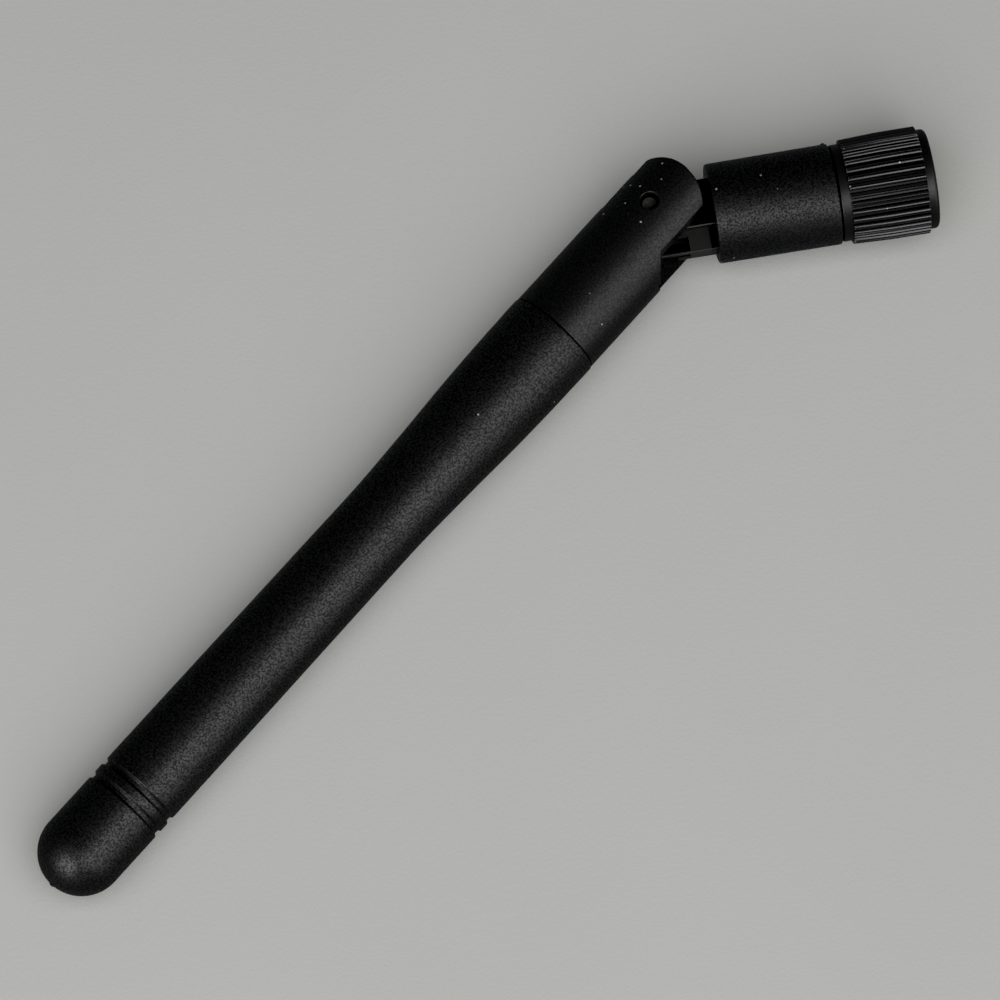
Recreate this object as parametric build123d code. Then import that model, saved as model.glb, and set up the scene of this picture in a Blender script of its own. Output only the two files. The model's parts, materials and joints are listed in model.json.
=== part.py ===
from build123d import *

import os
from math import cos, radians, sin, tan

# A folding whip antenna for a wireless router or card, lying on its side with the hinge bent.
# Frame, in millimetres: the origin is on the connector's axis where the full thread starts,
# +X points out of the connector's mouth, and +Z is up, along the hinge pin.
# The whip is drawn straight, along -X on the connector's axis, and then turned about the pin.

# ---- hinge -------------------------------------------------------------------------------
BEND = 39.0                  # angle of the whip to the connector's axis, degrees
PIVOT_X = -27.7              # pin, along the connector's axis
PIVOT_Y = 1.05               # pin, off the axis, on the outer side of the bend
PIN_RADIUS = 0.775
PIN_HALF_LENGTH = 3.6        # its ends are sunk in the ears
EAR_HOLE_RADIUS = 0.93

# ---- connector ---------------------------------------------------------------------------
THREAD_RADIUS = 2.85         # crests of the 1/4-36 thread, drawn as a plain bore
THREAD_LENGTH = 3.5
THREAD_RELIEF_RADIUS = 3.25
THREAD_CHAMFER = 0.3
NUT_FRONT = 0.3
NUT_BACK = -7.4
NUT_FLATS = 8.0              # across flats
NUT_CORNER_RADIUS = 4.5      # hexagon corners are turned down to this
NUT_LIP_START = -5.1
NUT_LIP_RADIUS = 2.42
RING_GROOVE = (-6.35, -5.75)  # where the retaining ring sits
RING_GROOVE_RADIUS = 2.85
SLEEVE_BACK = -8.8
KNURL_BACK = -7.8
KNURL_FRONT = 0.0
RIM_FRONT = 1.0
NECK_RADIUS = 4.92
RIM_RADIUS = 5.05
KNURL_BACK_RADIUS = 5.30
KNURL_FRONT_RADIUS = 5.46
KNURL_FLOOR_RADIUS = 5.0
KNURL_RIDGES = 36
KNURL_FLUTE_WIDTH = 0.40
KNURL_PHASE = 7.0            # degrees from +Z to the first flute, turning towards -Y
SLEEVE_BACK_BORE = 3.7

PLUG_FACE = -3.6             # reference plane of the plug
PLUG_RADIUS = 2.30
PLUG_RING_ROOT = 2.08
FLANGE = (-8.65, -7.65)
FLANGE_RADIUS = 3.3
BARREL_RADIUS = 2.60
BARREL_BACK = -12.3
CLIP_GROOVE = (-11.65, -11.05)
CLIP_ROOT = 2.20
CLIP_RADIUS = 3.5
SPIGOT_RADIUS = 0.65
SPIGOT_BACK = -15.1
INSULATOR_RADIUS = 2.05
INSULATOR_BACK = -9.2
SOCKET_RADIUS = 0.635
SOCKET_BORE = 0.47
SOCKET_BACK = -9.0
FERRULE = (-16.3, -12.4)
FERRULE_RADIUS = 1.25

# ---- coaxial lead, 1.13 mm -----------------------------------------------------------------
JACKET_RADIUS = 0.565
BRAID_RADIUS = 0.43
DIELECTRIC_RADIUS = 0.34
CORE_RADIUS = 0.12
BRAID_FLARE = 0.15           # thickness where the braid is pushed over the spigot
LEAD_BORE = 0.75             # free hole that the lead passes
LOOP_START = 4.1             # from the pin towards the connector
LOOP_END = 7.0               # from the pin along the whip
LOOP_BEND_RADIUS = 9.0

# ---- base --------------------------------------------------------------------------------
COLLAR_FRONT = -8.9
COLLAR_BACK = -21.5          # the end that faces the hinge
COLLAR_FRONT_RADIUS = 5.12
COLLAR_BACK_RADIUS = 5.07
COLLAR_EDGE = 0.3
COLLAR_WALL_BACK = -10.2     # inner face of the end wall that runs on the barrel
COLLAR_RUNNING_BORE = 2.66
COLLAR_BORE = 4.0
TONGUE_PLUG_FRONT = -16.9
TONGUE_PLUG_RADIUS = 3.98
TONGUE_OUTER_SIDE = 2.3      # sides of the blade, measured from the pin
TONGUE_INNER_SIDE = -5.0
SPINE_SIDE = -2.7            # where the thick spine steps down to the web
SPINE_HALF_THICKNESS = 1.85
SPINE_END_RADIUS = 2.75
WEB_HALF_THICKNESS = 1.1
WEB_END_RADIUS = 3.8         # inside the cap's outer side at every angle of the hinge
WEB_CORNER = (-0.9, -2.6)    # inner end of the web: its reach at the side and where it meets the round
WEB_CORNER_SIDE = -2.75
STEP_EDGE = 0.3              # rounding where the spine steps down
SPINE_EDGE = 0.25
WEB_EDGE = 0.12
CAVITY_HALF_HEIGHT = 0.65    # room for the lead inside the blade
CAVITY_START = 3.4
PIN_BOSS_RADIUS = 1.08
WINDOW = (-0.4, 3.4)
WINDOW_SIDES = (-4.8, -3.25)
UNDERCUT_TOP = 0.75          # the web is open below the window's rim, for the bent lead
UNDERCUT_REACH = (1.5, 2.8)  # at its top and at the web's underside

# ---- whip --------------------------------------------------------------------------------
CAP_RADIUS = 4.98
CAP_LENGTH = 15.6            # pin to seam
EAR_END_RADIUS = 5.1
SLOT_HALF_WIDTH = 2.0
SLOT_DEPTH = 2.95            # beyond the pin
WEB_SLOT_HALF_WIDTH = 1.3
WEB_SLOT_DEPTH = 5.3
EAR_TRIM = 3.13              # inner side of the upper ear, from the whip's axis
EAR_TRIM_SLOPE = 40.0        # degrees, of the shoulder where the trim runs out
CAP_HOLLOW_START = 8.8
CAP_HOLLOW_RADIUS = 3.0
SPIGOT_LENGTH = 6.0
CAP_SPIGOT_RADIUS = 3.95
EAR_EDGE = 0.25              # rounding of the upper ear's outline
EAR_HOLE_EDGE = 0.12

TIP_DISTANCE = 85.9          # pin to the centre of the round tip
TIP_RADIUS = 4.41
TAPER_START = 13.7           # distances from the centre of the round tip
TAPER_START_RADIUS = 4.40
TAPER_END = 43.7
TAPER_END_RADIUS = 4.30
FLARE_POINTS = [(51.8, 4.54), (59.9, 4.91)]
FLARE_END = 67.0
FLARE_END_RADIUS = 5.06
SEAM_EDGE = 0.4
TIP_GROOVES = (6.33, 8.09)
GROOVE_WIDTH = 0.85
GROOVE_FLOOR_WIDTH = 0.55
GROOVE_DEPTH = 0.27
RADOME_BORE = 3.3
RADOME_SOCKET_BORE = 3.97

CHOKE = (34.8, 58.3)         # brass sleeve, distances from the pin
CHOKE_RADIUS = 2.5
CHOKE_WALL = 0.25
CHOKE_END_WALL = 0.4
RADIATOR = (59.9, 83.3)
RADIATOR_RADIUS = 0.5
RADIATOR_CUP = 1.6


def rod(radius, start, end, y=0.0):
    """Cylinder along X between two places on it."""
    low, high = min(start, end), max(start, end)
    return extrude(Plane(origin=(low, y, 0), x_dir=(0, 1, 0), z_dir=(1, 0, 0)) * Circle(radius), high - low)


def tube(outer, inner, start, end):
    """Cylinder along X with a bore right through it."""
    return rod(outer, start, end) - rod(inner, start, end)


def turned(points):
    """Solid of revolution about X from an outline of (x, radius) points."""
    outline = make_face(Polyline(*points, close=True))
    return revolve(outline, Axis.X)


def block(x_span, y_span, z_span):
    """Box from its low and high sides."""
    size = [span[1] - span[0] for span in (x_span, y_span, z_span)]
    middle = [(span[1] + span[0]) / 2 for span in (x_span, y_span, z_span)]
    return Pos(*middle) * Box(*size)


def round_edges(solid, x_place, radius, least_radius):
    """Rounds the circular edges at one place along X that are at least so large."""
    edges = [e for e in solid.edges().filter_by(GeomType.CIRCLE)
             if abs(e.center().X - x_place) < 0.01 and e.radius > least_radius]
    return fillet(edges, radius)


def at_pin(shape):
    """Moves a shape drawn about the pin to its place."""
    return Pos(PIVOT_X, PIVOT_Y, 0) * shape


def along_whip(distance):
    """Place on X, with the whip straight, at a distance from the pin."""
    return PIVOT_X - distance


def bend(shape):
    """Turns a piece of the straight whip about the pin to where it rests."""
    return Pos(PIVOT_X, PIVOT_Y, 0) * Rot(0, 0, BEND) * Pos(-PIVOT_X, -PIVOT_Y, 0) * shape


# ---- connector pieces --------------------------------------------------------------------

def coupling_nut():
    """Brass hexagon nut, with its thread, a relief and an inner lip for the retaining ring."""
    length = NUT_FRONT - NUT_BACK
    hexagon = RegularPolygon(NUT_FLATS / 2, 6, major_radius=False)
    nut = extrude(Plane(origin=(NUT_BACK, 0, 0), x_dir=(0, 1, 0), z_dir=(1, 0, 0)) * hexagon, length)
    nut = nut & rod(NUT_CORNER_RADIUS, NUT_BACK, NUT_FRONT)
    bore = turned([
        (NUT_BACK, 0), (NUT_BACK, NUT_LIP_RADIUS),
        (RING_GROOVE[0], NUT_LIP_RADIUS), (RING_GROOVE[0], RING_GROOVE_RADIUS),
        (RING_GROOVE[1], RING_GROOVE_RADIUS), (RING_GROOVE[1], NUT_LIP_RADIUS),
        (NUT_LIP_START, NUT_LIP_RADIUS), (NUT_LIP_START, THREAD_RELIEF_RADIUS),
        (-THREAD_LENGTH, THREAD_RELIEF_RADIUS), (-THREAD_LENGTH, THREAD_RADIUS),
        (0, THREAD_RADIUS), (NUT_FRONT, THREAD_RADIUS + THREAD_CHAMFER), (NUT_FRONT, 0),
    ])
    return nut - bore


def knurled_sleeve():
    """Plastic grip pressed over the nut, with a smooth neck, a ridged band and a smooth rim."""
    knurl_rise = (KNURL_BACK + KNURL_FRONT) / 2
    chamfer = 0.15
    sleeve = turned([
        (SLEEVE_BACK, 0), (SLEEVE_BACK, NECK_RADIUS), (KNURL_BACK, NECK_RADIUS),
        (KNURL_BACK, KNURL_BACK_RADIUS - chamfer), (KNURL_BACK + chamfer, KNURL_BACK_RADIUS),
        (knurl_rise, KNURL_FRONT_RADIUS), (KNURL_FRONT - chamfer, KNURL_FRONT_RADIUS),
        (KNURL_FRONT, KNURL_FRONT_RADIUS - chamfer), (KNURL_FRONT, RIM_RADIUS),
        (RIM_FRONT, RIM_RADIUS), (RIM_FRONT, 0),
    ])
    sleeve = round_edges(sleeve, RIM_FRONT, 0.45, 4.0)
    sleeve = round_edges(sleeve, SLEEVE_BACK, 0.2, 4.0)
    flute = block((KNURL_BACK, KNURL_FRONT), (-KNURL_FLUTE_WIDTH / 2, KNURL_FLUTE_WIDTH / 2),
                  (KNURL_FLOOR_RADIUS, KNURL_FRONT_RADIUS + 1))
    flutes = [Rot(360 / KNURL_RIDGES * i + KNURL_PHASE, 0, 0) * flute for i in range(KNURL_RIDGES)]
    sleeve = sleeve - Compound(flutes)
    length = RIM_FRONT - NUT_BACK
    hexagon = RegularPolygon(NUT_FLATS / 2, 6, major_radius=False)
    pocket = extrude(Plane(origin=(NUT_BACK, 0, 0), x_dir=(0, 1, 0), z_dir=(1, 0, 0)) * hexagon, length)
    pocket = pocket & rod(NUT_CORNER_RADIUS, NUT_BACK, RIM_FRONT)
    return sleeve - pocket - rod(SLEEVE_BACK_BORE, SLEEVE_BACK, NUT_BACK)


def connector_body():
    """Turned plug body: outer contact, flange, swivel barrel and the spigot for the braid."""
    body = turned([
        (PLUG_FACE, DIELECTRIC_RADIUS + 0.03), (PLUG_FACE, PLUG_RADIUS),
        (RING_GROOVE[1], PLUG_RADIUS), (RING_GROOVE[1], PLUG_RING_ROOT),
        (RING_GROOVE[0], PLUG_RING_ROOT), (RING_GROOVE[0], PLUG_RADIUS),
        (FLANGE[1], PLUG_RADIUS), (FLANGE[1], FLANGE_RADIUS), (FLANGE[0], FLANGE_RADIUS),
        (FLANGE[0], BARREL_RADIUS), (CLIP_GROOVE[1], BARREL_RADIUS), (CLIP_GROOVE[1], CLIP_ROOT),
        (CLIP_GROOVE[0], CLIP_ROOT), (CLIP_GROOVE[0], BARREL_RADIUS), (BARREL_BACK, BARREL_RADIUS),
        (BARREL_BACK, SPIGOT_RADIUS), (SPIGOT_BACK, SPIGOT_RADIUS),
        (SPIGOT_BACK, DIELECTRIC_RADIUS + 0.03),
    ])
    return body - rod(INSULATOR_RADIUS, INSULATOR_BACK, PLUG_FACE)


def centre_socket():
    """Centre contact: a slotted socket in front and a solder cup for the lead's core behind."""
    cup_depth = 0.7
    slot_depth = 2.2
    slot_width = 0.15
    socket = rod(SOCKET_RADIUS, SOCKET_BACK, PLUG_FACE)
    socket = socket - rod(SOCKET_BORE, PLUG_FACE - 3.2, PLUG_FACE)
    socket = socket - rod(CORE_RADIUS + 0.01, SOCKET_BACK, SOCKET_BACK + cup_depth)
    across = block((PLUG_FACE - slot_depth, PLUG_FACE), (-1, 1), (-slot_width / 2, slot_width / 2))
    return socket - across - Rot(90, 0, 0) * across


def split_ring(outer, inner, span, gap_degrees):
    """Flat spring ring with a gap, lying across X."""
    ring = tube(outer, inner, span[0], span[1])
    half_gap = outer * tan(radians(gap_degrees / 2))
    return ring - block(span, (0, outer * 1.5), (-half_gap, half_gap))


def wave_washer():
    """Spring washer between the collar's end wall and the clip."""
    return tube(3.7, BARREL_RADIUS + 0.1, CLIP_GROOVE[1] + 0.05, COLLAR_WALL_BACK - 0.02)


# ---- lead ----------------------------------------------------------------------------------

def lower_braid():
    """Braid of the lower lead, opened over the spigot and drawn down to the lead behind it."""
    inner = SPIGOT_RADIUS + 0.01
    front = BARREL_BACK - 0.15
    neck = SPIGOT_BACK - 0.55
    end = PIVOT_X + LOOP_START
    return turned([
        (front, inner + BRAID_FLARE), (SPIGOT_BACK, inner + BRAID_FLARE), (neck, BRAID_RADIUS),
        (end, BRAID_RADIUS), (end, DIELECTRIC_RADIUS), (neck, DIELECTRIC_RADIUS),
        (SPIGOT_BACK, inner), (front, inner),
    ])


def hinge_loop():
    """Stretch of the lead that crosses the hinge: a straight, one arc round the pin, a straight."""
    turn = radians(BEND)
    start = Vector(PIVOT_X + LOOP_START, 0, 0)
    whip_way = Vector(-cos(turn), -sin(turn), 0)
    offset = Vector(sin(turn), -cos(turn), 0) * PIVOT_Y
    end = Vector(PIVOT_X, PIVOT_Y, 0) + offset + whip_way * LOOP_END
    to_corner = -end.Y / whip_way.Y
    corner = end + whip_way * to_corner
    route = FilletPolyline(start, corner, end, radius=LOOP_BEND_RADIUS)
    section = Plane(origin=start, z_dir=(-1, 0, 0)) * Circle(JACKET_RADIUS)
    print("lead across the hinge:", round(route.length, 2), "mm")
    return sweep(section, path=route)


# ---- base pieces -----------------------------------------------------------------------------

def base_collar():
    """Textured collar whose end wall turns on the connector's barrel."""
    collar = turned([
        (COLLAR_BACK, COLLAR_BORE), (COLLAR_BACK, COLLAR_BACK_RADIUS),
        (COLLAR_FRONT, COLLAR_FRONT_RADIUS), (COLLAR_FRONT, COLLAR_RUNNING_BORE),
        (COLLAR_WALL_BACK, COLLAR_RUNNING_BORE), (COLLAR_WALL_BACK, COLLAR_BORE),
    ])
    collar = round_edges(collar, COLLAR_FRONT, COLLAR_EDGE, 5.0)
    return round_edges(collar, COLLAR_BACK, COLLAR_EDGE, 5.0)


def blade(inner_side, outer_side, half_thickness, end_radius):
    """Flat blade from the collar's face to a round end about the pin."""
    reach = COLLAR_BACK - PIVOT_X
    straight = block((0, reach), (inner_side, outer_side), (-half_thickness, half_thickness))
    end = Cylinder(end_radius, 2 * half_thickness)
    sides = block((-end_radius, end_radius), (inner_side, outer_side), (-half_thickness, half_thickness))
    return straight + (end & sides)


def round_blade_edge(blade_shape, side, half_thickness, radius):
    """Rounds the straight edges at one side of a blade, on its upper and lower face."""
    edges = [e for e in blade_shape.edges().filter_by(GeomType.LINE)
             if abs(e.center().Y - side) < 0.01 and abs(abs(e.center().Z) - half_thickness) < 0.01
             and e.length > 2]
    return fillet(edges, radius)


def hinge_tongue():
    """Tongue of the hinge: a plug glued in the collar, a thick spine round the pin and a thin web."""
    spine = blade(SPINE_SIDE, TONGUE_OUTER_SIDE, SPINE_HALF_THICKNESS, SPINE_END_RADIUS)
    web = blade(TONGUE_INNER_SIDE, TONGUE_OUTER_SIDE, WEB_HALF_THICKNESS, WEB_END_RADIUS)
    corner = make_face(Polyline(
        (0, TONGUE_INNER_SIDE), (WEB_CORNER[0], TONGUE_INNER_SIDE), (WEB_CORNER[1], WEB_CORNER_SIDE),
        (0, WEB_CORNER_SIDE), close=True))
    web = web + extrude(Pos(0, 0, -WEB_HALF_THICKNESS) * corner, 2 * WEB_HALF_THICKNESS)
    cavity = block((-WEB_END_RADIUS - 1, CAVITY_START), (TONGUE_INNER_SIDE - 1, -0.4),
                   (-CAVITY_HALF_HEIGHT, CAVITY_HALF_HEIGHT))
    cavity = cavity - Cylinder(PIN_BOSS_RADIUS, 4)
    undercut = make_face(Plane.XZ * Polyline(
        (-WEB_END_RADIUS, UNDERCUT_TOP), (UNDERCUT_REACH[0], UNDERCUT_TOP), (UNDERCUT_REACH[1], -2),
        (-WEB_END_RADIUS, -2), close=True))
    cavity = cavity + Pos(0, WINDOW_SIDES[1] - 3, 0) * extrude(undercut, 3)
    window = block(WINDOW, WINDOW_SIDES, (-2, 2))
    hinge_end = spine + web - cavity - window - Cylinder(PIN_RADIUS, 10)
    hinge_end = round_blade_edge(hinge_end, SPINE_SIDE, SPINE_HALF_THICKNESS, STEP_EDGE)
    hinge_end = round_blade_edge(hinge_end, TONGUE_OUTER_SIDE, SPINE_HALF_THICKNESS, SPINE_EDGE)
    hinge_end = round_blade_edge(hinge_end, TONGUE_INNER_SIDE, WEB_HALF_THICKNESS, WEB_EDGE)
    plug = rod(TONGUE_PLUG_RADIUS, COLLAR_BACK, TONGUE_PLUG_FRONT)
    lead_hole = rod(LEAD_BORE, PIVOT_X + CAVITY_START - 0.5, TONGUE_PLUG_FRONT)
    return at_pin(hinge_end) + plug - lead_hole


def hinge_pin():
    """Pin held by the tongue, with both ends running in the ears."""
    return at_pin(Cylinder(PIN_RADIUS, 2 * PIN_HALF_LENGTH))


# ---- whip pieces, drawn straight -------------------------------------------------------------

def ear_outline():
    """What the fork may fill, seen along the pin: everything beyond it and two round ends."""
    height = 4 * CAP_RADIUS
    beyond = block((-CAP_LENGTH, 0), (-10, 10), (-height / 2, height / 2))
    front_width = (CAP_RADIUS ** 2 - SLOT_HALF_WIDTH ** 2) ** 0.5
    front_reach = PIVOT_Y + front_width
    front_end = Pos(0, -(front_reach - EAR_END_RADIUS + 0.1), 0) * Cylinder(EAR_END_RADIUS - 0.1, height)
    return at_pin(beyond + Cylinder(EAR_END_RADIUS, height) + front_end)


def upper_ear_rim(cap):
    """Edges where the upper ear's outline meets the cap's round skin."""
    found = []
    for edge in cap.edges():
        points = [edge @ share for share in (0.1, 0.5, 0.9)]
        on_skin = all(abs((p.Y ** 2 + p.Z ** 2) ** 0.5 - CAP_RADIUS) < 0.01 for p in points)
        middle = edge.center()
        from_pin = ((middle.X - PIVOT_X) ** 2 + (middle.Y - PIVOT_Y) ** 2) ** 0.5
        if on_skin and from_pin > 2 and middle.Z > SLOT_HALF_WIDTH + 0.5:
            found.append(edge)
    return found


def hinge_clevis():
    """Cap of the whip: a fork round the tongue at one end and a spigot for the radome at the other."""
    seam = along_whip(CAP_LENGTH)
    cap = rod(CAP_RADIUS, seam, PIVOT_X + EAR_END_RADIUS + 1) & ear_outline()
    wide_slot = block((-SLOT_DEPTH, 10), (-10, 10), (-SLOT_HALF_WIDTH, SLOT_HALF_WIDTH))
    web_slot = block((-WEB_SLOT_DEPTH, 10), (-10, 0), (-WEB_SLOT_HALF_WIDTH, WEB_SLOT_HALF_WIDTH))
    web_slot = web_slot + Cylinder(WEB_SLOT_DEPTH, 2 * WEB_SLOT_HALF_WIDTH)
    run_out = 4.0
    trim_side = -PIVOT_Y - EAR_TRIM
    trim = make_face(Polyline(
        (10, trim_side), (-SLOT_DEPTH, trim_side),
        (-SLOT_DEPTH - run_out / tan(radians(EAR_TRIM_SLOPE)), trim_side - run_out),
        (10, trim_side - run_out), close=True))
    trim = extrude(Pos(0, 0, -SLOT_HALF_WIDTH) * trim, 10)
    cap = cap - at_pin(wide_slot + web_slot + trim)
    cap = fillet(upper_ear_rim(cap), EAR_EDGE)
    cap = cap - at_pin(Cylinder(EAR_HOLE_RADIUS, 20))
    hole_rims = [e for e in cap.edges() if abs(e.center().X - PIVOT_X) < 1 and abs(e.center().Z) > 4.5]
    cap = fillet(hole_rims, EAR_HOLE_EDGE)
    spigot_end = seam - SPIGOT_LENGTH
    cap = cap + rod(CAP_SPIGOT_RADIUS, spigot_end, seam)
    lead_hole = turned([
        (along_whip(CAP_HOLLOW_START), 0), (along_whip(CAP_HOLLOW_START), LEAD_BORE),
        (along_whip(WEB_SLOT_DEPTH + 1.2), LEAD_BORE), (along_whip(WEB_SLOT_DEPTH - 0.6), 1.15),
        (along_whip(WEB_SLOT_DEPTH - 0.6), 0),
    ])
    return cap - lead_hole - rod(CAP_HOLLOW_RADIUS, spigot_end, along_whip(CAP_HOLLOW_START))


def radome():
    """Long cover with a round closed tip, two ring grooves, a slow taper and a flare to the seam."""
    centre = along_whip(TIP_DISTANCE)
    seam = along_whip(CAP_LENGTH)
    apex = (centre - TIP_RADIUS, 0)
    tip_middle = (centre - TIP_RADIUS * cos(radians(45)), TIP_RADIUS * sin(radians(45)))
    tip = ThreePointArc(apex, tip_middle, (centre, TIP_RADIUS))
    upper = Polyline((centre, TIP_RADIUS), (centre + TAPER_START, TAPER_START_RADIUS),
                     (centre + TAPER_END, TAPER_END_RADIUS))
    flare_points = [(centre + TAPER_END, TAPER_END_RADIUS)]
    flare_points += [(centre + place, radius) for place, radius in FLARE_POINTS]
    flare_points += [(centre + FLARE_END, FLARE_END_RADIUS)]
    flare = Spline(*flare_points, tangents=[(1, 0), (1, 0)])
    base = Polyline((centre + FLARE_END, FLARE_END_RADIUS), (seam, FLARE_END_RADIUS), (seam, 0), apex)
    cover = revolve(make_face(tip + upper + flare + base), Axis.X)
    cover = round_edges(cover, seam, SEAM_EDGE, 4.0)
    for place in TIP_GROOVES:
        middle = centre + place
        floor = TIP_RADIUS - GROOVE_DEPTH
        half_top, half_floor = GROOVE_WIDTH / 2, GROOVE_FLOOR_WIDTH / 2
        cover = cover - turned([
            (middle - half_top, TIP_RADIUS + 0.05), (middle - half_floor, floor),
            (middle + half_floor, floor), (middle + half_top, TIP_RADIUS + 0.05),
        ])
    socket_end = seam - SPIGOT_LENGTH - 0.3
    cover = cover - turned([
        (seam, 0), (seam, RADOME_SOCKET_BORE), (socket_end, RADOME_SOCKET_BORE),
        (socket_end - 5, RADOME_BORE), (centre, RADOME_BORE), (centre, 0),
    ])
    return cover - Pos(centre, 0, 0) * Sphere(RADOME_BORE)


def choke_sleeve():
    """Quarter-wave brass tube, open towards the hinge and closed on the braid at the feed."""
    start, end = along_whip(CHOKE[0]), along_whip(CHOKE[1])
    sleeve = tube(CHOKE_RADIUS, CHOKE_RADIUS - CHOKE_WALL, end, start)
    end_wall = rod(CHOKE_RADIUS, end, end + CHOKE_END_WALL)
    return sleeve + end_wall - rod(BRAID_RADIUS, end, start)


def solder_joint():
    """Solder cone that joins the braid to the closed end of the brass tube."""
    base = along_whip(CHOKE[1])
    top = base - 0.7
    return turned([(base, BRAID_RADIUS), (base, 1.3), (top, 0.6), (top, BRAID_RADIUS)])


def radiator_rod():
    """Brass rod that radiates, with a cup for the lead's core."""
    start, end = along_whip(RADIATOR[0]), along_whip(RADIATOR[1])
    return rod(RADIATOR_RADIUS, end, start) - rod(CORE_RADIUS + 0.01, start - RADIATOR_CUP, start)


def disc_spacer(outer, inner, distance, length):
    """Ring that centres one piece of the whip in another."""
    return tube(outer, inner, along_whip(distance + length), along_whip(distance))


lower_end = PIVOT_X + LOOP_START
upper_start = along_whip(LOOP_END)
jacket_start = SPIGOT_BACK - 0.7
braid_end = along_whip(CHOKE[1] + 0.7)
dielectric_end = along_whip(RADIATOR[0] - 0.1)
core_end = along_whip(RADIATOR[0] + RADIATOR_CUP - 0.1)

connector_nodes = {
    "connector_body": connector_body(),
    "insulator": tube(INSULATOR_RADIUS, SOCKET_RADIUS, INSULATOR_BACK, PLUG_FACE),
    "centre_socket": centre_socket(),
    "retaining_ring": split_ring(2.72, 2.12, (-6.25, -5.85), 30),
    "swivel_clip": split_ring(CLIP_RADIUS, CLIP_ROOT + 0.02, (-11.6, -11.1), 60),
    "crimp_ferrule": tube(FERRULE_RADIUS, SPIGOT_RADIUS + BRAID_FLARE + 0.02, FERRULE[0], FERRULE[1]),
    "lower_lead_jacket": tube(JACKET_RADIUS, BRAID_RADIUS, lower_end, jacket_start),
    "lower_lead_braid": lower_braid(),
    "lower_lead_dielectric": tube(DIELECTRIC_RADIUS, CORE_RADIUS, lower_end, INSULATOR_BACK - 0.05),
    "lower_lead_core": rod(CORE_RADIUS, lower_end, SOCKET_BACK + 0.6),
    "coupling_nut": coupling_nut(),
    "knurled_sleeve": knurled_sleeve(),
}

base_nodes = {
    "base_collar": base_collar(),
    "friction_washer": wave_washer(),
    "hinge_tongue": hinge_tongue(),
    "hinge_pin": hinge_pin(),
    "lead_hinge_loop": hinge_loop(),
}

whip_nodes = {
    "hinge_clevis": hinge_clevis(),
    "radome": radome(),
    "upper_lead_jacket": tube(JACKET_RADIUS, BRAID_RADIUS, along_whip(CHOKE[1] - 2), upper_start),
    "upper_lead_braid": tube(BRAID_RADIUS, DIELECTRIC_RADIUS, braid_end, upper_start),
    "upper_lead_dielectric": tube(DIELECTRIC_RADIUS, CORE_RADIUS, dielectric_end, upper_start),
    "upper_lead_core": rod(CORE_RADIUS, core_end, upper_start),
    "choke_sleeve": choke_sleeve(),
    "solder_joint": solder_joint(),
    "radiator_rod": radiator_rod(),
    "choke_bush": disc_spacer(CHOKE_RADIUS - CHOKE_WALL, JACKET_RADIUS, CHOKE[0], 2.5),
    "radome_spacer": disc_spacer(RADOME_BORE, CHOKE_RADIUS, 42.0, 3.0),
    "tip_spacer": disc_spacer(RADOME_BORE, RADIATOR_RADIUS, 77.0, 3.0),
    "heat_shrink": disc_spacer(0.72, RADIATOR_RADIUS, RADIATOR[0] - 0.05, 6.0),
}

os.makedirs("parts", exist_ok=True)
nodes = connector_nodes | base_nodes | {name: bend(shape) for name, shape in whip_nodes.items()}
for name, shape in nodes.items():
    export_step(shape, f"parts/{name}.step")
print(len(nodes), "sub-parts written")
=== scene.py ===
# %% [markdown]
# # A folding whip antenna
#
# The object is a small radio antenna that screws on a router: a long plastic cover with a round
# tip, a cap that forks round a hinge, a collar that swivels, and a ridged grip over a brass nut.
# The CAD model holds every size and every joint. This file gives each piece its finish, and
# remakes the round pieces as fine surfaces with the small roundings that moulded plastic has.

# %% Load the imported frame
import json
import math

import bmesh
import bpy
import numpy as np
from mathutils import Matrix, Vector


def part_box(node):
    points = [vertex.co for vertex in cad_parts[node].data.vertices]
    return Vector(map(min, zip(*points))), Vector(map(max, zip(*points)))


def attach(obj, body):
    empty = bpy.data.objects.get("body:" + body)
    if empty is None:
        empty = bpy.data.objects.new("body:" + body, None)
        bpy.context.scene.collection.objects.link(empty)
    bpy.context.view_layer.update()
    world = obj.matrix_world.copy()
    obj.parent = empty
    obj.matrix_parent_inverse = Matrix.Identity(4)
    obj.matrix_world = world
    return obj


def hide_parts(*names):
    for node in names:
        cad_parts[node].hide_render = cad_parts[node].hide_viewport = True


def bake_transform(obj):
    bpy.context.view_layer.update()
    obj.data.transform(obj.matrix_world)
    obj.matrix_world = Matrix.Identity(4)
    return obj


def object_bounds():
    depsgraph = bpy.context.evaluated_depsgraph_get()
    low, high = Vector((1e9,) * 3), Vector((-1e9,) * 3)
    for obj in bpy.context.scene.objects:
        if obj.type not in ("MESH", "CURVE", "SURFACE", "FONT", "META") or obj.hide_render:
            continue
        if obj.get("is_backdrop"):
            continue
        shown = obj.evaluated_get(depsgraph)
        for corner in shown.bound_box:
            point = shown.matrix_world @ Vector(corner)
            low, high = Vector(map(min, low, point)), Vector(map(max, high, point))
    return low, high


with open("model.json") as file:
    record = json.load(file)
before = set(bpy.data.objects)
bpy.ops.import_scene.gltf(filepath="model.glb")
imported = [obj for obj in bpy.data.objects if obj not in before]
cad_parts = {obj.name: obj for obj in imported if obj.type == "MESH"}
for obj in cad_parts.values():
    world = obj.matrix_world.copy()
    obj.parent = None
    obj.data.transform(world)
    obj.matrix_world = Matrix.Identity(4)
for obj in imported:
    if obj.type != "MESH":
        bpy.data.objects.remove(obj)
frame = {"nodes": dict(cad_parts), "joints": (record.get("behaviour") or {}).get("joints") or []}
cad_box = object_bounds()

scene = bpy.context.scene

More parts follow.
